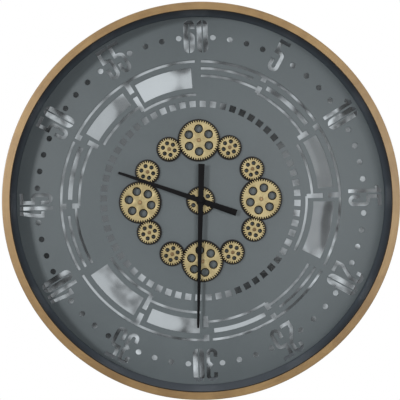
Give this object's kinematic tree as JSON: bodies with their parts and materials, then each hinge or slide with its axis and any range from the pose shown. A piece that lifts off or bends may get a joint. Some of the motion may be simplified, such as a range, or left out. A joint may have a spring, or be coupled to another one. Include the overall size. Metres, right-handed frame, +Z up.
{
  "type": "wall clock",
  "caption": "Round industrial wall clock: deep bronze case, grey dial pierced over a mirror, stencil numerals, turning gold wheels on the dial and two black hands.",
  "frame": {"origin": "the hanging point: the axis of the wall screw, in the plane of the wall", "axes": "+Z up, +Y into the wall, so the dial faces -Y, and +X to the right as the clock is read"},
  "size_m": [0.6, 0.08, 0.6],
  "materials": {
    "bronze": "antique bronze, brushed round the case",
    "dark_paint": "satin dark grey",
    "dial_paint": "matt blue-grey",
    "mirror": "silvered glass",
    "board": "brown hardboard",
    "gold": "satin gold",
    "black_paint": "matt black",
    "steel": "zinc plated",
    "black_plastic": "moulded black",
    "white_plastic": "moulded white",
    "grey_plastic": "moulded grey",
    "cell_jacket": "plain printed sleeve"
  },
  "bodies": {
    "case": {"outer_frame": "bronze", "inner_wall": "dark_paint", "dial_plate": "dial_paint", "mirror_ring": "mirror", "back_board": "board", "hanger_bracket": "steel", "board_bracket_1": "steel", "board_bracket_2": "steel", "board_bracket_3": "steel", "board_bracket_4": "steel", "board_bracket_5": "steel", "board_bracket_6": "steel", "stud_1": "steel", "stud_2": "steel", "stud_4": "steel", "stud_5": "steel", "stud_7": "steel", "stud_8": "steel", "stud_10": "steel", "stud_11": "steel", "rear_plate": "steel", "plate_pillar_1": "steel", "plate_pillar_2": "steel", "plate_pillar_3": "steel", "plate_pillar_4": "steel", "movement_case": "black_plastic", "movement_cell": "cell_jacket", "stem_nut": "black_paint", "gear_motor": "black_plastic", "battery_box": "black_plastic", "box_cell_upper": "cell_jacket", "box_cell_lower": "cell_jacket"},
    "sun": {"sun_wheel": "white_plastic", "center_wheel": "gold"},
    "pinion": {"motor_pinion": "white_plastic"},
    "drive_12": {"drive_arbor_12": "white_plastic", "big_wheel_12": "gold"},
    "drive_3": {"drive_arbor_3": "white_plastic", "big_wheel_3": "gold"},
    "drive_6": {"drive_arbor_6": "white_plastic", "big_wheel_6": "gold"},
    "drive_9": {"drive_arbor_9": "white_plastic", "big_wheel_9": "gold"},
    "idler_1": {"small_wheel_1": "gold"},
    "idler_2": {"small_wheel_2": "gold"},
    "idler_4": {"small_wheel_4": "gold"},
    "idler_5": {"small_wheel_5": "gold"},
    "idler_7": {"small_wheel_7": "gold"},
    "idler_8": {"small_wheel_8": "gold"},
    "idler_10": {"small_wheel_10": "gold"},
    "idler_11": {"small_wheel_11": "gold"},
    "minute": {"minute_arbor": "steel", "minute_hand": "black_paint", "hand_cap": "black_paint"},
    "hour": {"hour_pipe": "steel", "hour_hand": "black_paint"},
    "knob": {"set_knob": "white_plastic"},
    "cover": {"battery_cover": "black_plastic"},
    "switch": {"power_switch": "grey_plastic"}
  },
  "joints": [
    {"name": "sun_spin", "type": "hinge", "parent": "case", "child": "sun", "pos_m": [0, 0, -0.227], "axis": [0, 1, 0], "continuous": true},
    {"name": "pinion_spin", "type": "hinge", "parent": "case", "child": "pinion", "pos_m": [-0.0555, 0, -0.28249], "axis": [0, 1, 0], "continuous": true},
    {"name": "drive_12_spin", "type": "hinge", "parent": "case", "child": "drive_12", "pos_m": [0, 0, -0.13282], "axis": [0, 1, 0], "continuous": true},
    {"name": "drive_3_spin", "type": "hinge", "parent": "case", "child": "drive_3", "pos_m": [0.09418, 0, -0.227], "axis": [0, 1, 0], "continuous": true},
    {"name": "drive_6_spin", "type": "hinge", "parent": "case", "child": "drive_6", "pos_m": [0, 0, -0.32118], "axis": [0, 1, 0], "continuous": true},
    {"name": "drive_9_spin", "type": "hinge", "parent": "case", "child": "drive_9", "pos_m": [-0.09418, 0, -0.227], "axis": [0, 1, 0], "continuous": true},
    {"name": "idler_1_spin", "type": "hinge", "parent": "case", "child": "idler_1", "pos_m": [0.04709, 0, -0.14544], "axis": [0, 1, 0], "continuous": true},
    {"name": "idler_2_spin", "type": "hinge", "parent": "case", "child": "idler_2", "pos_m": [0.08156, 0, -0.17991], "axis": [0, 1, 0], "continuous": true},
    {"name": "idler_4_spin", "type": "hinge", "parent": "case", "child": "idler_4", "pos_m": [0.08156, 0, -0.27409], "axis": [0, 1, 0], "continuous": true},
    {"name": "idler_5_spin", "type": "hinge", "parent": "case", "child": "idler_5", "pos_m": [0.04709, 0, -0.30856], "axis": [0, 1, 0], "continuous": true},
    {"name": "idler_7_spin", "type": "hinge", "parent": "case", "child": "idler_7", "pos_m": [-0.04709, 0, -0.30856], "axis": [0, 1, 0], "continuous": true},
    {"name": "idler_8_spin", "type": "hinge", "parent": "case", "child": "idler_8", "pos_m": [-0.08156, 0, -0.27409], "axis": [0, 1, 0], "continuous": true},
    {"name": "idler_10_spin", "type": "hinge", "parent": "case", "child": "idler_10", "pos_m": [-0.08156, 0, -0.17991], "axis": [0, 1, 0], "continuous": true},
    {"name": "idler_11_spin", "type": "hinge", "parent": "case", "child": "idler_11", "pos_m": [-0.04709, 0, -0.14544], "axis": [0, 1, 0], "continuous": true},
    {"name": "minute_spin", "type": "hinge", "parent": "case", "child": "minute", "pos_m": [0, 0, -0.227], "axis": [0, 1, 0], "continuous": true},
    {"name": "hour_spin", "type": "hinge", "parent": "case", "child": "hour", "pos_m": [0, 0, -0.227], "axis": [0, 1, 0], "continuous": true},
    {"name": "knob_spin", "type": "hinge", "parent": "case", "child": "knob", "pos_m": [0.016, 0, -0.214], "axis": [0, 1, 0], "continuous": true},
    {"name": "cover_slide", "type": "slide", "parent": "case", "child": "cover", "axis": [1, 0, 0], "range_m": [0, 0.045]},
    {"name": "switch_slide", "type": "slide", "parent": "case", "child": "switch", "axis": [0, 0, 1], "range_m": [0, 0.0034]}
  ],
  "couplings": [
    {"joint": "pinion_spin", "follows": "sun_spin", "ratio": -4},
    {"joint": "drive_12_spin", "follows": "sun_spin", "ratio": -2},
    {"joint": "drive_3_spin", "follows": "sun_spin", "ratio": -2},
    {"joint": "drive_6_spin", "follows": "sun_spin", "ratio": -2},
    {"joint": "drive_9_spin", "follows": "sun_spin", "ratio": -2},
    {"joint": "idler_1_spin", "follows": "sun_spin", "ratio": 3.5714},
    {"joint": "idler_2_spin", "follows": "sun_spin", "ratio": 3.5714},
    {"joint": "idler_4_spin", "follows": "sun_spin", "ratio": 3.5714},
    {"joint": "idler_5_spin", "follows": "sun_spin", "ratio": 3.5714},
    {"joint": "idler_7_spin", "follows": "sun_spin", "ratio": 3.5714},
    {"joint": "idler_8_spin", "follows": "sun_spin", "ratio": 3.5714},
    {"joint": "idler_10_spin", "follows": "sun_spin", "ratio": 3.5714},
    {"joint": "idler_11_spin", "follows": "sun_spin", "ratio": 3.5714},
    {"joint": "hour_spin", "follows": "minute_spin", "ratio": 0.083333},
    {"joint": "knob_spin", "follows": "minute_spin", "ratio": -0.33333}
  ]
}
